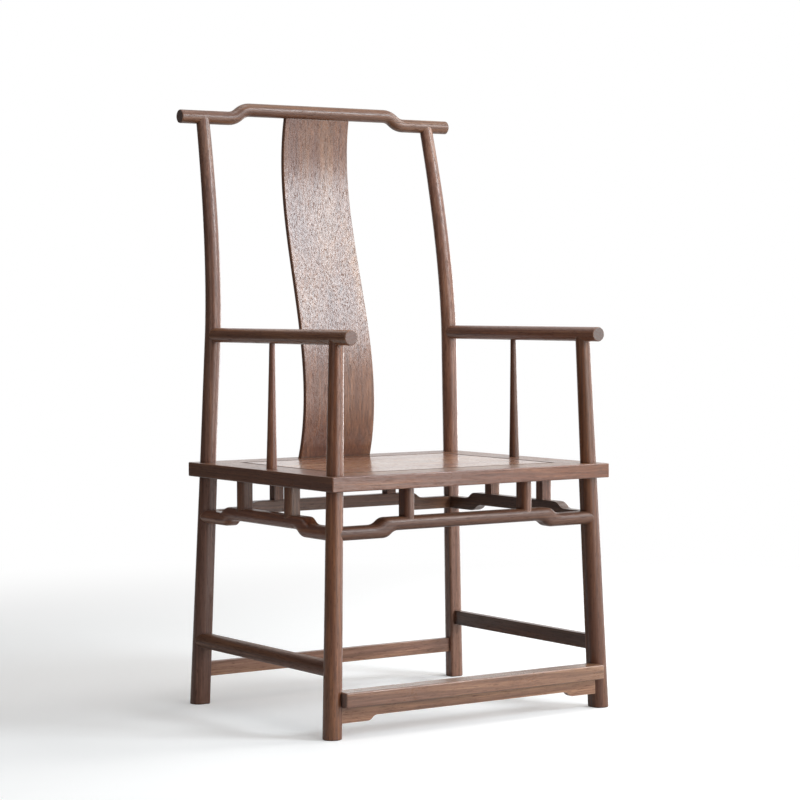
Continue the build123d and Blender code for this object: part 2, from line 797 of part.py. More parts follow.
def build_foot_stretcher(side, posts):
    """Straight stretcher, round outside and flat inside, coped round both legs."""
    z = rear_stretcher_height if side == "rear" else side_stretcher_height
    tenons = [foot_tenon(side, end, 0) for end in (-1, 1)]
    legs = [posts[corner_of(side, end)] for end in (-1, 1)]
    with BuildPart() as foot_stretcher:
        with BuildSketch(side_plane(side, z, outer_face(z) - foot_stretcher_depth)):
            Rectangle(2 * half_span(side, z), foot_stretcher_height)
        extrude(amount=foot_stretcher_depth)
        ease_long_edges(foot_stretcher, outward[side], along[side], foot_stretcher_round)
        ease_long_edges(foot_stretcher, -outward[side], along[side], inner_ease)
        add(legs, mode=Mode.SUBTRACT)
        add(tenons)
    return foot_stretcher.part


def build_footrest(posts):
    """Plank in front of and between the front legs, notched round them."""
    middle = footrest_top - footrest_thickness / 2
    reach = leg_x(middle) - footrest_end_inset
    depth = footrest_front + footrest_back
    front_edge = -leg_y(middle) - footrest_front
    tenons = [foot_tenon("front", end, 0) for end in (-1, 1)]
    legs = [posts[corner_of("front", end)] for end in (-1, 1)]
    groove = apron_tongue_bar(fit_gap)
    with BuildPart() as footrest:
        with BuildSketch(Plane.XY.offset(footrest_under)):
            with Locations((0, front_edge + depth / 2)):
                Rectangle(2 * reach, depth)
        extrude(amount=footrest_thickness)
        fillet(footrest.edges(), radius=footrest_ease)
        add(legs, mode=Mode.SUBTRACT)
        add(tenons)
        add(groove, mode=Mode.SUBTRACT)
    return footrest.part


def build_footrest_apron(posts):
    """Board under the footrest, deep at the legs and shallow between two curves."""
    reach = leg_x(footrest_under)
    deep = reach - apron_end_length
    shallow = deep - apron_step
    face = Plane(origin=(0, apron_y, footrest_under), x_dir=(1, 0, 0), z_dir=(0, -1, 0))
    legs = [posts[corner_of("front", end)] for end in (-1, 1)]
    tongue = apron_tongue_bar(0)
    with BuildPart() as footrest_apron:
        with BuildSketch(face):
            with BuildLine():
                Polyline((-reach, 0), (reach, 0), (reach, -apron_drop_end), (deep, -apron_drop_end))
                ogee((deep, -apron_drop_end), (shallow, -apron_drop_middle))
                Line((shallow, -apron_drop_middle), (-shallow, -apron_drop_middle))
                ogee((-shallow, -apron_drop_middle), (-deep, -apron_drop_end))
                Polyline((-deep, -apron_drop_end), (-reach, -apron_drop_end), (-reach, 0))
            make_face()
        extrude(amount=apron_thickness / 2, both=True)
        add(legs, mode=Mode.SUBTRACT)
        add(tongue)
    return footrest_apron.part


# ---------------------------------------------------------------- assembly

posts = {}
for sign in (-1, 1):
    posts[sign, -1] = front_post_blank((sign, -1))
    posts[sign, 1] = rear_post_blank((sign, 1))
crest = crest_blank()
ring = seat_ring()

pieces = {"crest_rail": build_crest_rail(crest), "splat": build_splat(crest)}
for sign, word in side_words.items():
    arm = arm_blank(sign)
    pieces["front_post_" + word] = build_front_post(sign, posts[sign, -1], arm)
    pieces["rear_post_" + word] = build_rear_post(sign, posts[sign, 1], crest)
    pieces["arm_rail_" + word] = build_arm_rail(sign, arm, posts[sign, 1])
    pieces["arm_strut_" + word] = build_arm_strut(sign, arm)
    pieces["batten_" + word] = build_batten(sign)
for side in outward:
    hump = hump_blank(side)
    pieces["seat_rail_" + side] = build_seat_rail(side, ring)
    pieces["hump_stretcher_" + side] = build_hump_stretcher(side, hump, posts)
    for end in (-1, 1):
        x_sign, y_sign = corner_of(side, end)
        word = side_words[x_sign] if is_cross_side(side) else end_words[y_sign]
        pieces["strut_" + side + "_" + word] = build_short_strut(side, end, hump)
for side in ("left", "right", "rear"):
    pieces["foot_stretcher_" + side] = build_foot_stretcher(side, posts)
pieces["seat_panel"] = build_seat_panel()
pieces["footrest"] = build_footrest(posts)
pieces["footrest_apron"] = build_footrest_apron(posts)

# ---------------------------------------------------------------- origin and export

boxes = [piece.bounding_box() for piece in pieces.values()]
to_middle = -(min(box.min.Y for box in boxes) + max(box.max.Y for box in boxes)) / 2
for name, piece in pieces.items():
    placed = piece.moved(Location((0, to_middle, 0)))
    placed.label = name
    export_step(placed, "parts/" + name + ".step")
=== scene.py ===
import bpy
import math
import numpy as np
from mathutils import Matrix, Vector


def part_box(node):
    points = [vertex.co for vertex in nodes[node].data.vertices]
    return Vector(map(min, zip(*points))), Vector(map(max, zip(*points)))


# Official's hat armchair in oiled walnut. Metres, and the chair's front faces -Y.
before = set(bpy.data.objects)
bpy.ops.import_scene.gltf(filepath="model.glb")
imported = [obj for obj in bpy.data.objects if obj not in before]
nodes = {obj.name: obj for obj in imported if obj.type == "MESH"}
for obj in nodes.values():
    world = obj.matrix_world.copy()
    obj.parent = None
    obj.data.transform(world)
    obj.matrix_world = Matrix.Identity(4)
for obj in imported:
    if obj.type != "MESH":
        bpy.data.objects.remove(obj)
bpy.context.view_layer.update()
seatMiddle = (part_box("seat_panel")[0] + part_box("seat_panel")[1]) / 2
print("frame: %d pieces" % len(nodes))

cameraLook = {
    "place": (-2.52504, -3.73278, 0.75152),   # from the floor under the seat's middle
    "right": (0.82735, -0.56167, -0.00381),
    "up": (0.02642, 0.03214, 0.99913),
    "focalPixels": 2446.04,
    "imagePixels": 800,
    "sensorWidth": 36.0,                      # millimetres
    "clipEnd": 60.0,
    "shiftPixels": 0.5,                       # the picture's middle lies this far right and down
}


def makeCamera(look):
    data = bpy.data.cameras.new("camera")
    data.sensor_width = look["sensorWidth"]
    data.lens = look["focalPixels"] / look["imagePixels"] * data.sensor_width
    data.shift_x = -look["shiftPixels"] / look["imagePixels"]
    data.shift_y = look["shiftPixels"] / look["imagePixels"]
    data.clip_end = look["clipEnd"]
    camera = bpy.data.objects.new("camera", data)
    right = Vector(look["right"]).normalized()
    back = right.cross(Vector(look["up"])).normalized()
    turn = Matrix((right, back.cross(right), back)).transposed().to_4x4()
    camera.matrix_world = Matrix.Translation(Vector(look["place"]) + Vector((0, seatMiddle.y, 0))) @ turn
    bpy.context.scene.collection.objects.link(camera)
    bpy.context.scene.camera = camera
    print("camera: lens %.1f mm" % data.lens)


makeCamera(cameraLook)


# small helpers that add nodes and wires
def addNode(tree, kind, place, settings=None, **values):
    # settings: the node's own properties; values: its sockets, with _ for a space
    node = tree.nodes.new(kind)
    node.location = place
    for key, value in (settings or {}).items():
        setattr(node, key, value)
    for key, value in values.items():
        node.inputs[key.replace("_", " ")].default_value = value
    return node


def wire(tree, *pairs):
    for start, end in pairs:
        tree.links.new(start, end)


def feed(tree, socket, value):
    # a number, a colour or another node's output into a socket
    if isinstance(value, bpy.types.NodeSocket):
        tree.links.new(value, socket)
    elif isinstance(value, tuple) and len(value) == 3 and socket.type == "RGBA":
        socket.default_value = (*value, 1.0)
    elif value is not None:
        socket.default_value = value


def calc(tree, operation, first, second=None, third=None, place=(0, 0), clamp=False):
    node = addNode(tree, "ShaderNodeMath", place, {"operation": operation, "use_clamp": clamp})
    for socket, value in zip(node.inputs, (first, second, third)):
        feed(tree, socket, value)
    return node.outputs[0]


def vectorCalc(tree, operation, first, second=None, third=None, place=(0, 0)):
    node = addNode(tree, "ShaderNodeVectorMath", place, {"operation": operation})
    for socket, value in zip(node.inputs, (first, second, third)):
        feed(tree, socket, value)
    return node.outputs["Value" if operation in ("DOT_PRODUCT", "LENGTH") else "Vector"]


def blendColours(tree, share, first, second, place, mode="MIX"):
    node = addNode(tree, "ShaderNodeMix", place, {"data_type": "RGBA", "blend_type": mode})
    for socket, value in zip((node.inputs[0], node.inputs[6], node.inputs[7]), (share, first, second)):
        feed(tree, socket, value)
    return node.outputs[2]


def scaled(tree, first, second, place):
    return calc(tree, "MULTIPLY", first, second, place=place)


def spread(tree, value, ends, place, smooth=False):
    # 0 where the value is at the first end and 1 where it is at the second
    low, high = ends
    kind = {"interpolation_type": "SMOOTHSTEP" if smooth else "LINEAR"}
    node = addNode(tree, "ShaderNodeMapRange", place, kind, From_Min=low, From_Max=high)
    feed(tree, node.inputs["Value"], value)
    return node.outputs["Result"]


def noise(tree, vector, scale, place, detail=3.0, roughness=0.55):
    # scale: cycles a metre along each axis
    stretched = vectorCalc(tree, "MULTIPLY", vector, scale, place=(place[0] - 180, place[1]))
    node = addNode(tree, "ShaderNodeTexNoise", place, None, Scale=1.0, Detail=detail, Roughness=roughness)
    wire(tree, (stretched, node.inputs["Vector"]))
    return node.outputs


def newGroup(name, inputs, outputs):
    group = bpy.data.node_groups.new(name, "ShaderNodeTree")
    for label, kind, value in inputs:
        socket = group.interface.new_socket(name=label, in_out="INPUT", socket_type="NodeSocket" + kind)
        if value is not None:
            socket.default_value = value
    for label, kind in outputs:
        group.interface.new_socket(name=label, in_out="OUTPUT", socket_type="NodeSocket" + kind)
    start = addNode(group, "NodeGroupInput", (-1600, 0))
    end = addNode(group, "NodeGroupOutput", (1200, 0))
    return group, start.outputs, end.inputs


grainSizes = {                 # cycles a metre across the grain twice, then along it
    "sway": (5.0, 5.0, 1.1),
    "swayReach": (0.016, 0.016, 0.0),      # metres
    "ripple": (60.0, 60.0, 3.0),
    "rippleReach": 0.0035,
    "ringsPerMetre": 150.0,
    "ringLean": 0.012,                     # how far the rings drift outwards in a metre
    "band": (24.0, 24.0, 0.8),
    "streak": (240.0, 240.0, 7.0),
    "vein": (90.0, 90.0, 1.6),
    "pore": (560.0, 560.0, 46.0),
    "fleck": (900.0, 900.0, 300.0),
    "endPore": (1500.0, 1500.0, 20.0),
}
grainShares = {                # how much of its colour each layer lays over those below
    "thinStreak": 0.62,
    "paleStreak": 0.55,
    "vein": 0.65,
    "pore": 0.65,
    "endPore": 0.70,
    "poreDepth": -0.90,        # in the relief, where a streak counts 1
    "fleckDepth": 0.35,
}
grainEnds = {                  # of the noise, or of the way through a ring: where a layer starts and is full
    "lateWood": (0.35, 0.93),
    "earlyWood": (0.93, 1.0),
    "goldenBand": (0.50, 0.68),
    "purpleBand": (0.48, 0.30),
    "thinStreak": (0.36, 0.70),
    "paleStreak": (0.44, 0.26),
    "vein": (0.56, 0.74),
    "pore": (0.54, 0.66),
    "endPore": (0.54, 0.66),
}


def walnutGrainGroup():
    # grain runs along Z of Place: growth rings about the pith, broad heartwood bands, fine streaks
    # and short open pores, and rings with pores end-on where the surface cuts the grain
    tree, given, result = newGroup(
        "walnutGrain",
        [("Place", "Vector", None), ("End Share", "Float", 0.0), ("Pith", "Vector", None),
         ("Rings", "Float", 0.5), ("Bands", "Float", 1.0), ("Golden", "Color", None),
         ("Brown", "Color", None), ("Purple", "Color", None), ("Dark", "Color", None),
         ("End", "Color", None)],
        [("Color", "Color"), ("Height", "Float"), ("Pores", "Float")],
    )
    place, brown, golden = given["Place"], given["Brown"], given["Golden"]
    purple, dark = given["Purple"], given["Dark"]
    sizes, shares, ends = grainSizes, grainShares, grainEnds
    sway = noise(tree, place, sizes["sway"], (-1200, 500), detail=1.0)["Color"]
    sway = vectorCalc(tree, "SUBTRACT", sway, (0.5, 0.5, 0.5), place=(-1020, 500))
    bent = vectorCalc(tree, "MULTIPLY_ADD", sway, sizes["swayReach"], place, place=(-860, 400))

    fromPith = vectorCalc(tree, "SUBTRACT", bent, given["Pith"], place=(-680, 620))
    flat = vectorCalc(tree, "MULTIPLY", fromPith, (1.0, 1.0, 0.0), place=(-520, 620))
    lean = addNode(tree, "ShaderNodeSeparateXYZ", (-520, 480))
    wire(tree, (fromPith, lean.inputs[0]))
    distance = vectorCalc(tree, "LENGTH", flat, place=(-360, 620))
    distance = calc(tree, "MULTIPLY_ADD", lean.outputs[2], sizes["ringLean"], distance, place=(-200, 620))
    ripple = noise(tree, bent, sizes["ripple"], (-360, 460), detail=2.0)["Fac"]
    distance = calc(tree, "MULTIPLY_ADD", ripple, sizes["rippleReach"], distance, place=(-40, 620))
    turn = calc(tree, "MULTIPLY", distance, sizes["ringsPerMetre"], place=(120, 620))
    turn = calc(tree, "FRACT", turn, place=(280, 620))
    lateWood = spread(tree, turn, ends["lateWood"], (440, 700), smooth=True)     # each ring darkens slowly
    earlyWood = spread(tree, turn, ends["earlyWood"], (440, 560))                # and ends in a clean line
    ring = calc(tree, "SUBTRACT", lateWood, earlyWood, place=(620, 620), clamp=True)
    ring = scaled(tree, ring, given["Rings"], (780, 620))

    band = noise(tree, bent, sizes["band"], (-680, 250), detail=2.0, roughness=0.5)["Fac"]
    streak = noise(tree, bent, sizes["streak"], (-680, 60), detail=5.0, roughness=0.70)["Fac"]
    vein = noise(tree, bent, sizes["vein"], (-680, -120), detail=3.0, roughness=0.6)["Fac"]
    pore = noise(tree, bent, sizes["pore"], (-680, -300), detail=3.0, roughness=0.7)["Fac"]
    fleck = noise(tree, place, sizes["fleck"], (-680, -480), detail=2.0, roughness=0.6)["Fac"]

    goldenBand = spread(tree, band, ends["goldenBand"], (-440, 300))
    goldenBand = calc(tree, "MULTIPLY", goldenBand, given["Bands"], place=(-240, 300), clamp=True)
    purpleBand = spread(tree, band, ends["purpleBand"], (-440, 200))
    purpleBand = calc(tree, "MULTIPLY", purpleBand, given["Bands"], place=(-240, 180), clamp=True)
    thinStreak = spread(tree, streak, ends["thinStreak"], (-440, 80))
    thinStreak = scaled(tree, thinStreak, shares["thinStreak"], (-200, 60))
    paleStreak = spread(tree, streak, ends["paleStreak"], (-440, -20))
    paleStreak = scaled(tree, paleStreak, shares["paleStreak"], (-200, -60))
    veins = spread(tree, vein, ends["vein"], (-440, -120))
    veins = scaled(tree, veins, shares["vein"], (-200, -160))
    pores = spread(tree, pore, ends["pore"], (-440, -300))
    poreShare = scaled(tree, pores, shares["pore"], (-200, -300))
    colour = blendColours(tree, goldenBand, brown, golden, (-60, 300))
    colour = blendColours(tree, purpleBand, colour, purple, (120, 300))
    colour = blendColours(tree, thinStreak, colour, dark, (300, 240))
    colour = blendColours(tree, paleStreak, colour, golden, (460, 200))
    colour = blendColours(tree, veins, colour, dark, (620, 160))
    colour = blendColours(tree, ring, colour, dark, (780, 120))
    colour = blendColours(tree, poreShare, colour, dark, (900, 80))

    dots = noise(tree, place, sizes["endPore"], (-680, -680), detail=1.0)["Fac"]
    dots = spread(tree, dots, ends["endPore"], (-440, -680))
    dots = scaled(tree, dots, shares["endPore"], (-240, -680))
    sawn = blendColours(tree, ring, given["End"], purple, (780, -500))
    sawn = blendColours(tree, dots, sawn, dark, (900, -500))
    colour = blendColours(tree, given["End Share"], colour, sawn, (1040, 60))

    height = calc(tree, "MULTIPLY_ADD", pores, shares["poreDepth"], streak, place=(300, -300))
    height = calc(tree, "MULTIPLY_ADD", fleck, shares["fleckDepth"], height, place=(480, -300))
    wire(tree, (colour, result["Color"]), (height, result["Height"]), (pores, result["Pores"]))
    return tree


patchSizes = {                 # cycles a metre
    "wearAndHighlight": (70.0, 70.0, 70.0),
    "dustAndShade": (90.0, 90.0, 90.0),
    "clouds": (11.0, 11.0, 11.0),
    "scuffs": (480.0, 480.0, 170.0),
    "boardSide": (6.0, 6.0, 2.2),
    "boardSideReach": 0.05,                # metres
}
patchEnds = {                  # where a mask is 0 and where it is 1
    "endGrain": (0.80, 0.93),              # cosine between the surface's normal and the grain
    "edge": (0.995, 0.90),                 # cosine between the rounded normal and the surface's own
    "wearAndHighlight": (0.36, 0.60),
    "joint": (0.80, 0.30),                 # open share of the sky close by
    "dustAndShade": (0.1, 0.6),
    "film": (0.30, 0.62),
    "lips": (0.62, 0.38),                  # of the line's width
    "level": (0.4, 0.8),                   # upward share of the normal
}
sheenChange = {                # in roughness, from its least to its most
    "clouds": 0.16,
    "scuffs": 0.14,
    "matt": 0.22,
    "mattFilm": -0.85,                     # of the oil film, where it is matt
}


def endGrainGroup():
    # share of the surface that is cut across the grain
    tree, given, result = newGroup("endGrain", [("Along", "Vector", None)], [("Share", "Float")])
    facing = addNode(tree, "ShaderNodeNewGeometry", (-600, 0))
    dot = vectorCalc(tree, "DOT_PRODUCT", facing.outputs["True Normal"], given["Along"], place=(-400, 0))
    dot = calc(tree, "ABSOLUTE", dot, place=(-220, 0))
    cut = spread(tree, dot, patchEnds["endGrain"], (-40, 0), smooth=True)
    wire(tree, (cut, result["Share"]))
    return tree


def edgeWearAndHighlightGroup():
    # an edge is where the rounded normal leaves the surface's own; it is painted paler in patches, as wear
    # and as a painted highlight on the edge
    tree, given, result = newGroup(
        "edgeWearAndHighlight",
        [("Place", "Vector", None), ("Radius", "Float", 0.002), ("Amount", "Float", 0.6)],
        [("Mask", "Float")],
    )
    rounded = addNode(tree, "ShaderNodeBevel", (-900, 200), {"samples": 4})
    wire(tree, (given["Radius"], rounded.inputs["Radius"]))
    flat = addNode(tree, "ShaderNodeNewGeometry", (-900, 0))
    dot = vectorCalc(tree, "DOT_PRODUCT", rounded.outputs[0], flat.outputs["Normal"], place=(-700, 120))
    edge = spread(tree, dot, patchEnds["edge"], (-500, 120))
    patches = noise(tree, given["Place"], patchSizes["wearAndHighlight"], (-700, -200), detail=4.0, roughness=0.65)["Fac"]
    patchy = spread(tree, patches, patchEnds["wearAndHighlight"], (-500, -200))
    mask = scaled(tree, edge, patchy, (-300, 0))
    mask = calc(tree, "MULTIPLY", mask, given["Amount"], place=(-100, 0), clamp=True)
    wire(tree, (mask, result["Mask"]))
    return tree


def jointDustAndShadeGroup():
    # painted shade and dust: darker where two pieces meet and little of the sky close by is open, uneven in
    # patches
    tree, given, result = newGroup(
        "jointDustAndShade",
        [("Place", "Vector", None), ("Reach", "Float", 0.008), ("Amount", "Float", 0.6)],
        [("Mask", "Float")],
    )
    hidden = addNode(tree, "ShaderNodeAmbientOcclusion", (-700, 100), {"samples": 6})
    wire(tree, (given["Reach"], hidden.inputs["Distance"]))
    close = spread(tree, hidden.outputs["AO"], patchEnds["joint"], (-500, 100))
    uneven = noise(tree, given["Place"], patchSizes["dustAndShade"], (-700, -200))["Fac"]
    uneven = spread(tree, uneven, patchEnds["dustAndShade"], (-500, -200))
    mask = scaled(tree, close, uneven, (-300, 0))
    mask = calc(tree, "MULTIPLY", mask, given["Amount"], place=(-100, 0), clamp=True)
    wire(tree, (mask, result["Mask"]))
    return tree


def oilSheenGroup():
    # broad cloudy change of gloss from hands and cloth; the oil film thins over pores and scuffs
    tree, given, result = newGroup(
        "oilSheen",
        [("Place", "Vector", None), ("Base", "Float", 0.40), ("Oil", "Float", 0.4), ("Matt", "Float", 0.0)],
        [("Roughness", "Float"), ("Coat", "Float")],
    )
    change = sheenChange
    clouds = noise(tree, given["Place"], patchSizes["clouds"], (-700, 150), detail=3.0, roughness=0.6)["Fac"]
    scuffs = noise(tree, given["Place"], patchSizes["scuffs"], (-700, -100), detail=2.0)["Fac"]
    total = calc(tree, "MULTIPLY_ADD", clouds, change["clouds"], -change["clouds"] / 2, place=(-500, 150))
    scuffed = calc(tree, "MULTIPLY_ADD", scuffs, change["scuffs"], -change["scuffs"] / 2, place=(-500, -100))
    total = calc(tree, "ADD", total, scuffed, place=(-300, 50))
    total = calc(tree, "ADD", total, given["Base"], place=(-120, 50))
    total = calc(tree, "MULTIPLY_ADD", given["Matt"], change["matt"], total, place=(60, 50), clamp=True)
    film = calc(tree, "MULTIPLY_ADD", given["Matt"], change["mattFilm"], 1.0, place=(-120, -200))
    film = scaled(tree, film, spread(tree, scuffs, patchEnds["film"], (-300, -300)), (60, -200))
    film = calc(tree, "MULTIPLY", film, given["Oil"], place=(240, -200), clamp=True)
    wire(tree, (total, result["Roughness"]), (film, result["Coat"]))
    return tree


def panelShadeLineGroup():
    # painted shade, with oil and dust, on both lips of the gap between the seat's frame and its panel
    tree, given, result = newGroup(
        "panelShadeLine",
        [("Place", "Vector", None), ("Middle", "Vector", None), ("Half Size", "Vector", None),
         ("Width", "Float", 0.006)],
        [("Mask", "Float")],
    )
    away = vectorCalc(tree, "SUBTRACT", given["Place"], given["Middle"], place=(-900, 100))
    away = vectorCalc(tree, "ABSOLUTE", away, place=(-740, 100))
    away = vectorCalc(tree, "SUBTRACT", away, given["Half Size"], place=(-580, 100))
    sides = addNode(tree, "ShaderNodeSeparateXYZ", (-420, 100))
    wire(tree, (away, sides.inputs[0]))
    edge = calc(tree, "MAXIMUM", sides.outputs[0], sides.outputs[1], place=(-260, 100))
    edge = calc(tree, "ABSOLUTE", edge, place=(-100, 100))
    steps = calc(tree, "DIVIDE", edge, given["Width"], place=(60, 100))
    line = spread(tree, steps, patchEnds["lips"], (220, 100), smooth=True)
    facing = addNode(tree, "ShaderNodeNewGeometry", (-420, -150))
    up = addNode(tree, "ShaderNodeSeparateXYZ", (-260, -150))
    wire(tree, (facing.outputs["True Normal"], up.inputs[0]))
    level = spread(tree, up.outputs[2], patchEnds["level"], (-100, -150))
    mask = calc(tree, "MULTIPLY", line, level, place=(400, 0), clamp=True)
    wire(tree, (mask, result["Mask"]))
    return tree


def boardSidesGroup():
    # the two long sides of a wide board, with a wandering border
    tree, given, result = newGroup(
        "boardSides",
        [("Place", "Vector", None), ("Inner", "Float", 0.04), ("Outer", "Float", 0.07),
         ("Amount", "Float", 0.5)],
        [("Mask", "Float")],
    )
    sides = addNode(tree, "ShaderNodeSeparateXYZ", (-700, 100))
    wire(tree, (given["Place"], sides.inputs[0]))
    wander = noise(tree, given["Place"], patchSizes["boardSide"], (-700, -150), detail=2.0)["Fac"]
    away = calc(tree, "ABSOLUTE", sides.outputs[0], place=(-500, 100))
    wander = calc(tree, "SUBTRACT", wander, 0.5, place=(-500, -100))
    away = calc(tree, "MULTIPLY_ADD", wander, patchSizes["boardSideReach"], away, place=(-320, 50))
    past = calc(tree, "SUBTRACT", away, given["Inner"], place=(-160, 50))
    width = calc(tree, "SUBTRACT", given["Outer"], given["Inner"], place=(-160, -100))
    side = calc(tree, "DIVIDE", past, width, place=(0, 0), clamp=True)
    mask = calc(tree, "MULTIPLY", side, given["Amount"], place=(160, 0), clamp=True)
    wire(tree, (mask, result["Mask"]))
    return tree


walnutGrain = walnutGrainGroup()
endGrain = endGrainGroup()
edgeWearAndHighlight = edgeWearAndHighlightGroup()
jointDustAndShade = jointDustAndShadeGroup()
oilSheen = oilSheenGroup()
panelShadeLine = panelShadeLineGroup()
boardSides = boardSidesGroup()
print("node groups: %d" % len(bpy.data.node_groups))

walnutLook = {
    "golden": (0.330, 0.158, 0.075),
    "brown": (0.235, 0.093, 0.043),
    "purple": (0.160, 0.058, 0.034),
    "dark": (0.056, 0.018, 0.009),
    "end": (0.200, 0.138, 0.118),
    "wornAndHighlight": (0.360, 0.225, 0.150),
    # the dark of the dust and painted shade in the joints and along the panel's gap
    "dustAndShade": (0.030, 0.016, 0.011),
    "roughness": 0.38,
    "ior": 1.47,
    "coat": 0.55,
    "coatRoughness": 0.24,
    "rings": 0.30,
    "bands": 0.75,
    "relief": 0.00009,                    # depth of the grain
    "wearAndHighlightRadius": 0.0020,
    "wearAndHighlight": 0.55,
    "dustAndShadeReach": 0.007,
    "dustAndShadeAmount": 0.75,
    "sides": 0.0,                         # share of the tint below at a board's two long sides
    "sidesTint": (1.30, 1.45, 1.60),
}
tonedColours = ("golden", "brown", "purple", "dark", "end", "wornAndHighlight")
grainPlace = {
    "shift": (0.37, 0.61, 0.83),          # from one piece to the next, so that no two share their grain
    "pithAway": 0.16,                     # from the frame's origin, across the grain, in metres
    "pithTurn": 2.4,                      # from one piece to the next, in radians
}
panelFrame = {
    "pieces": ("seat_panel", "seat_rail_front", "seat_rail_rear", "seat_rail_left", "seat_rail_right"),
    "railWidth": 0.074,
    "lineWidth": 0.008,
    "lineDepth": 0.0003,                 # of the lips' soft arris; the gap itself is in the solids
    "lineMatt": 3.0,                     # how strongly the dust and painted shade there kill the gloss
}
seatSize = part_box("seat_rail_right")[1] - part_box("seat_rail_left")[0]
panelHalf = (seatSize.x / 2 - panelFrame["railWidth"], seatSize.y / 2 - panelFrame["railWidth"], 1.0)
quarter = math.pi / 2
grainTurns = {            # brings the grain onto Z, and the direction it runs in
    "across": ((0.0, -quarter, 0.0), (1.0, 0.0, 0.0)),
    "deep": ((quarter, 0.0, 0.0), (0.0, 1.0, 0.0)),
    "upright": ((0.0, 0.0, 0.0), (0.0, 0.0, 1.0)),
}


def grainOf(name):
    # along the longest side; the panel's boards run from left to right
    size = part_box(name)[1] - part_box(name)[0]
    if name == "seat_panel":
        return "across"
    return ("across", "deep", "upright")[max(range(3), key=lambda axis: size[axis])]


def useGroup(tree, group, place, **values):
    node = addNode(tree, "ShaderNodeGroup", place, {"node_tree": group})
    for key, value in values.items():
        feed(tree, node.inputs[key.replace("_", " ")], value)
    return node


def walnut(name, seed, tone, **changes):
    look = {**walnutLook, **changes}
    rotation, direction = grainTurns[grainOf(name)]
    colours = {key: tuple(min(1.0, value * tone) for value in look[key]) for key in tonedColours}
    shift = tuple(step * seed for step in grainPlace["shift"])
    turn = grainPlace["pithTurn"] * seed
    material = bpy.data.materials.new("walnut_" + name)
    material.use_nodes = True
    tree = material.node_tree
    tree.nodes.clear()
    output = addNode(tree, "ShaderNodeOutputMaterial", (1000, 0))
    shader = addNode(tree, "ShaderNodeBsdfPrincipled", (700, 0), None, IOR=look["ior"],
                     Coat_Roughness=look["coatRoughness"])
    coords = addNode(tree, "ShaderNodeTexCoord", (-1100, 0))
    turned = addNode(tree, "ShaderNodeMapping", (-900, 0), None, Rotation=rotation, Location=shift)
    wire(tree, (coords.outputs["Object"], turned.inputs["Vector"]))
    along = turned.outputs[0]
    away = grainPlace["pithAway"]
    pith = (shift[0] + away * math.cos(turn), shift[1] + away * math.sin(turn), shift[2])
    ends = useGroup(tree, endGrain, (-650, -100), Along=direction)
    grain = useGroup(tree, walnutGrain, (-400, 150), Place=along, End_Share=ends.outputs[0], Pith=pith,
                     Rings=look["rings"], Bands=look["bands"], Golden=colours["golden"],
                     Brown=colours["brown"], Purple=colours["purple"], Dark=colours["dark"],
                     End=colours["end"])
    # paler edges: wear, and a painted highlight along them
    wearAndHighlight = useGroup(tree, edgeWearAndHighlight, (-400, -200), Place=along, Radius=look["wearAndHighlightRadius"],
                    Amount=look["wearAndHighlight"])
    # painted shade and dust where pieces meet
    dustAndShade = useGroup(tree, jointDustAndShade, (-400, -400), Place=along, Reach=look["dustAndShadeReach"],
                    Amount=look["dustAndShadeAmount"])
    matt = calc(tree, "MAXIMUM", grain.outputs["Pores"], ends.outputs[0], place=(-150, -150))
    height = grain.outputs["Height"]
    line = None
    if name in panelFrame["pieces"]:
        line = useGroup(tree, panelShadeLine, (-400, 650), Place=coords.outputs["Object"], Middle=seatMiddle,
                        Half_Size=panelHalf, Width=panelFrame["lineWidth"]).outputs[0]
        matt = calc(tree, "MULTIPLY_ADD", line, panelFrame["lineMatt"], matt, place=(-50, -250))
        steps = panelFrame["lineDepth"] / look["relief"]
        height = calc(tree, "MULTIPLY_ADD", line, -steps, height, place=(100, -350))
    sheen = useGroup(tree, oilSheen, (50, -150), Place=along, Base=look["roughness"], Oil=look["coat"],
                     Matt=matt)
    colour = grain.outputs["Color"]
    if look["sides"]:
        sides = useGroup(tree, boardSides, (-400, 400), Place=coords.outputs["Object"], Amount=look["sides"])
        gilded = blendColours(tree, 1.0, colour, look["sidesTint"], (-250, 450), mode="MULTIPLY")
        colour = blendColours(tree, sides.outputs[0], colour, gilded, (-180, 300))
    colour = blendColours(tree, wearAndHighlight.outputs[0], colour, colours["wornAndHighlight"], (-100, 150))
    colour = blendColours(tree, dustAndShade.outputs[0], colour, look["dustAndShade"], (150, 150))
    # painted shade along the gap round the seat panel, with dust
    if line is not None:
        colour = blendColours(tree, line, colour, look["dustAndShade"], (300, 300))
    bump = addNode(tree, "ShaderNodeBump", (300, -300), None, Strength=1.0, Distance=look["relief"])
    wire(tree, (height, bump.inputs["Height"]), (bump.outputs[0], shader.inputs["Normal"]),
         (colour, shader.inputs["Base Color"]), (sheen.outputs[0], shader.inputs["Roughness"]),
         (sheen.outputs[1], shader.inputs["Coat Weight"]),
         (shader.outputs[0], output.inputs["Surface"]))
    return material


toneSteps = [1.00, 0.93, 1.07, 0.96, 1.04, 0.90, 1.02]     # for pieces without a tone of their own
# paler, less saturated colours: painted sheen and light on the seat panel, the footrest, its apron and the
# rear foot stretcher
paleLitWalnut = {
    "golden": (0.360, 0.200, 0.115),
    "brown": (0.270, 0.135, 0.076),
    "purple": (0.190, 0.090, 0.060),
}
plumWalnut = {
    "golden": (0.330, 0.168, 0.100),
    "brown": (0.235, 0.103, 0.062),
    "purple": (0.165, 0.067, 0.048),
}
redWalnut = {
    "golden": (0.330, 0.146, 0.062),
    "brown": (0.235, 0.084, 0.034),
    "purple": (0.160, 0.051, 0.026),
}
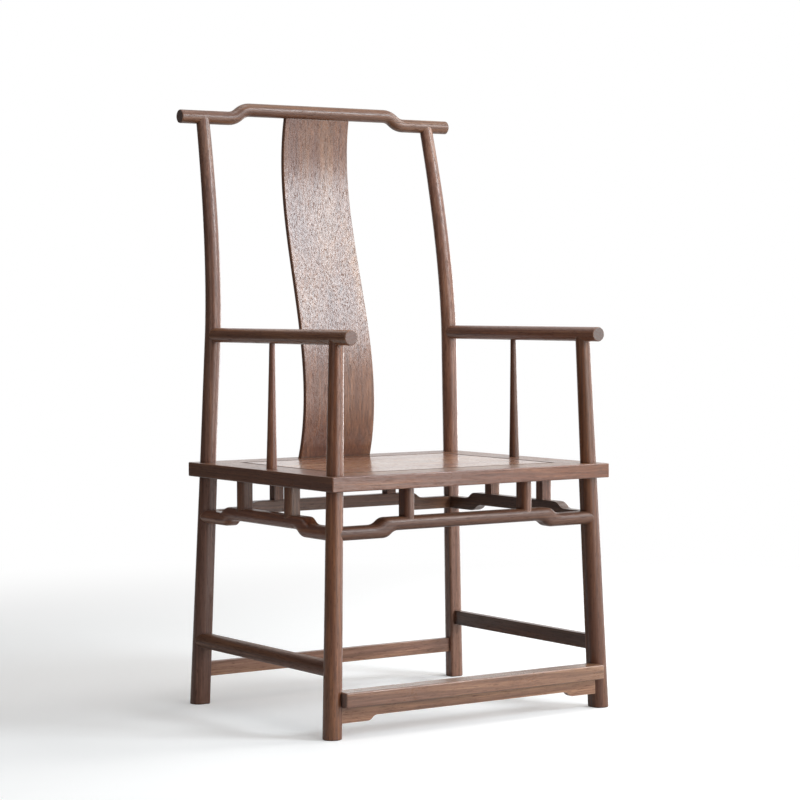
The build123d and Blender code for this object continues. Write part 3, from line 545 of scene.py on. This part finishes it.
# the tones also make up for what the lamps don't give a piece, so they differ more than boards do
pieceLooks = {
    "crest_rail": {"tone": 0.72, "coat": 0.30},
    "splat": {"tone": 0.90, "bands": 0.9, "rings": 0.22, "sides": 0.6, "coat": 0.75, "relief": 0.00012},
    "rear_post_left": {"tone": 0.90, **plumWalnut},
    "rear_post_right": {"tone": 1.08, **plumWalnut},
    "front_post_left": {"tone": 1.04, **redWalnut},
    "front_post_right": {"tone": 0.72, **redWalnut, "coat": 0.25},
    "arm_rail_left": {"tone": 1.16},
    "arm_rail_right": {"tone": 1.12, **plumWalnut, "end": (0.140, 0.112, 0.100)},
    "arm_strut_left": {"tone": 1.25},
    "arm_strut_right": {"tone": 0.56, "coat": 0.20},
    "seat_panel": {"tone": 1.75, **paleLitWalnut, "bands": 0.9, "rings": 0.35, "roughness": 0.26,
                   "coat": 0.8, "coatRoughness": 0.10, "relief": 0.000036},
    "seat_rail_front": {"tone": 1.08, "roughness": 0.32},
    "seat_rail_rear": {"tone": 1.10, "roughness": 0.32},
    "seat_rail_left": {"tone": 1.00, "roughness": 0.32},
    "seat_rail_right": {"tone": 1.00, "roughness": 0.32},
    "hump_stretcher_front": {"tone": 0.60, "roughness": 0.50, "coat": 0.25},
    "hump_stretcher_rear": {"tone": 0.80},
    "hump_stretcher_left": {"tone": 1.50},
    "hump_stretcher_right": {"tone": 0.52},
    "foot_stretcher_rear": {"tone": 1.55, **paleLitWalnut, "coat": 0.8},
    "foot_stretcher_left": {"tone": 0.90, "roughness": 0.50, "coat": 0.15},
    "foot_stretcher_right": {"tone": 0.62},
    "footrest": {"tone": 1.26, **paleLitWalnut, "roughness": 0.30, "coat": 0.9},
    # the apron gets a wider, full-strength painted shade under the footrest
    "footrest_apron": {"tone": 1.60, **paleLitWalnut, "dustAndShadeReach": 0.012, "dustAndShadeAmount": 1.0},
}
for number, name in enumerate(sorted(nodes)):
    look = {"tone": toneSteps[number % len(toneSteps)], **pieceLooks.get(name, {})}
    material = walnut(name, number + 1.0, **look)
    for slot in nodes[name].material_slots:
        slot.material = material
print("walnut: %d materials" % len(nodes))

studioLook = {
    "floor": (0.90, 0.895, 0.885),
    "floorBounce": (0.30, 0.29, 0.28),  # what the chair gets back from it
    "floorSize": 16.0,
    "fill": 0.22,                      # strength of the plain light from all round
    "paleEnds": (0.9, 2.6),            # distances from the chair between which the floor fades to white
    "floorLift": 0.22,                 # of the floor near the chair, where it is only seen
    "daylight": (0.86, 0.94, 1.0),     # colour of the lamps named window
    "plainLight": (1.0, 1.0, 1.0),     # and of the others
    "lamps": {                         # place, size and watts
        "front": ((0.0, -3.2, 1.3), (1.6, 1.6), 24.0),
        "frontRight": ((1.05, -2.37, 0.75), (0.9, 1.3), 9.0),
        "low": ((0.9, -2.6, 0.45), (1.8, 0.7), 6.0),
        "window": ((1.45, -1.95, 1.85), (0.8, 0.9), 34.0),
        "windowHigh": ((1.8, -2.5, 2.6), (1.2, 1.2), 20.0),
        "side": ((2.4, -0.4, 2.4), (1.4, 1.4), 36.0),
        "sideLow": ((2.2, -0.9, 0.5), (1.2, 0.8), 9.0),
        "rim": ((2.2, 1.2, 0.6), (0.8, 0.9), 15.0),
        "top": ((0.0, 0.0, 2.6), (1.0, 1.0), 10.0),
        "left": ((-1.7, -0.6, 1.2), (1.0, 1.4), 3.2),
    },
    "aim": (0.0, 0.0, 0.6),
    "flagHeight": 2.4,
    "flagTone": 0.10,
    "flagRoughness": 0.9,
    "flagLine": ((-0.6, -4.4), (-2.9, -3.3), (-2.2, -1.2), (-1.75, 0.6), (-1.2, 1.7), (-0.15, 2.1)),
}


def flatSheet(name, corners):
    # one flat face through its corners, in the order given
    mesh = bpy.data.meshes.new(name)
    mesh.from_pydata(np.array(corners, float).tolist(), [], [tuple(range(len(corners)))])
    sheet = bpy.data.objects.new(name, mesh)
    bpy.context.scene.collection.objects.link(sheet)
    return sheet


def softLight(name, place, target, size, watts, colour):
    data = bpy.data.lights.new(name, "AREA")
    data.color = colour
    data.shape = "RECTANGLE"
    data.size, data.size_y = size
    data.energy = watts
    lamp = bpy.data.objects.new(name, data)
    aim = (Vector(target) - Vector(place)).to_track_quat("-Z", "Y").to_matrix().to_4x4()
    lamp.matrix_world = Matrix.Translation(place) @ aim
    bpy.context.scene.collection.objects.link(lamp)


def seenDirectly(tree, place):
    # 1 for rays from the camera and for mirrored and transmitted ones
    rays = addNode(tree, "ShaderNodeLightPath", place)
    x, y = place
    seen, mirrored = rays.outputs["Is Camera Ray"], rays.outputs["Is Glossy Ray"]
    both = calc(tree, "MAXIMUM", seen, mirrored, place=(x + 200, y))
    return calc(tree, "MAXIMUM", both, rays.outputs["Is Transmission Ray"], place=(x + 380, y))


def makeFloor(look):
    half = look["floorSize"] / 2
    floor = flatSheet("floor", [(-half, -half, 0), (half, -half, 0), (half, half, 0), (-half, half, 0)])
    material = bpy.data.materials.new("paleFloor")
    material.use_nodes = True
    tree = material.node_tree
    tree.nodes.clear()
    output = addNode(tree, "ShaderNodeOutputMaterial", (900, 0))
    paint = addNode(tree, "ShaderNodeBsdfDiffuse", (0, 150), None, Color=(*look["floor"], 1.0))
    bounce = addNode(tree, "ShaderNodeBsdfDiffuse", (450, 200), None, Color=(*look["floorBounce"], 1.0))
    lift = addNode(tree, "ShaderNodeEmission", (0, 0), None, Color=(1, 1, 1, 1))
    white = addNode(tree, "ShaderNodeEmission", (200, -150), None, Color=(1, 1, 1, 1), Strength=1.0)
    lifted = addNode(tree, "ShaderNodeAddShader", (200, 100))
    fading = addNode(tree, "ShaderNodeMixShader", (450, 50))
    choice = addNode(tree, "ShaderNodeMixShader", (700, 100))
    rays = addNode(tree, "ShaderNodeLightPath", (-500, 50))
    extra = calc(tree, "MULTIPLY", rays.outputs["Is Camera Ray"], look["floorLift"], place=(-250, 50))
    coords = addNode(tree, "ShaderNodeTexCoord", (-700, -200))
    away = vectorCalc(tree, "LENGTH", coords.outputs["Object"], place=(-500, -200))
    faded = spread(tree, away, look["paleEnds"], (-300, -200), smooth=True)
    wire(tree, (extra, lift.inputs["Strength"]), (paint.outputs[0], lifted.inputs[0]),
         (lift.outputs[0], lifted.inputs[1]), (faded, fading.inputs[0]),
         (lifted.outputs[0], fading.inputs[1]), (white.outputs[0], fading.inputs[2]),
         (seenDirectly(tree, (-300, 350)), choice.inputs[0]), (bounce.outputs[0], choice.inputs[1]),
         (fading.outputs[0], choice.inputs[2]), (choice.outputs[0], output.inputs["Surface"]))
    floor.data.materials.append(material)


def makeWorld(look):
    world = bpy.data.worlds.new("studio")
    bpy.context.scene.world = world
    world.use_nodes = True
    tree = world.node_tree
    tree.nodes.clear()
    output = addNode(tree, "ShaderNodeOutputWorld", (600, 0))
    plain = addNode(tree, "ShaderNodeBackground", (0, 100), None, Color=(1, 1, 1, 1), Strength=look["fill"])
    white = addNode(tree, "ShaderNodeBackground", (0, -100), None, Color=(1, 1, 1, 1), Strength=1.0)
    mixed = addNode(tree, "ShaderNodeMixShader", (300, 0))
    wire(tree, (seenDirectly(tree, (-500, 300)), mixed.inputs[0]), (plain.outputs[0], mixed.inputs[1]),
         (white.outputs[0], mixed.inputs[2]), (mixed.outputs[0], output.inputs["Surface"]))


def makeFlag(look):
    # a dark cloth to the left and behind keeps the light off that side of the chair
    line = look["flagLine"]
    for number, (start, end) in enumerate(zip(line[:-1], line[1:])):
        corners = [(*start, 0.0), (*end, 0.0), (*end, look["flagHeight"]), (*start, look["flagHeight"])]
        flag = flatSheet("flag_%d" % number, corners)
        flag.visible_camera = False
        material = bpy.data.materials.new("flagCloth_%d" % number)
        material.use_nodes = True
        shader = material.node_tree.nodes["Principled BSDF"]
        shader.inputs["Base Color"].default_value = (look["flagTone"],) * 3 + (1.0,)
        shader.inputs["Roughness"].default_value = look["flagRoughness"]
        flag.data.materials.append(material)


makeWorld(studioLook)
makeFloor(studioLook)
makeFlag(studioLook)
for lampName, (place, size, watts) in studioLook["lamps"].items():
    lampColour = studioLook["daylight" if lampName.startswith("window") else "plainLight"]
    softLight(lampName, place, studioLook["aim"], size, watts, lampColour)
bpy.context.scene.view_settings.view_transform = "Standard"
print("studio: floor, world, flag and lamps")
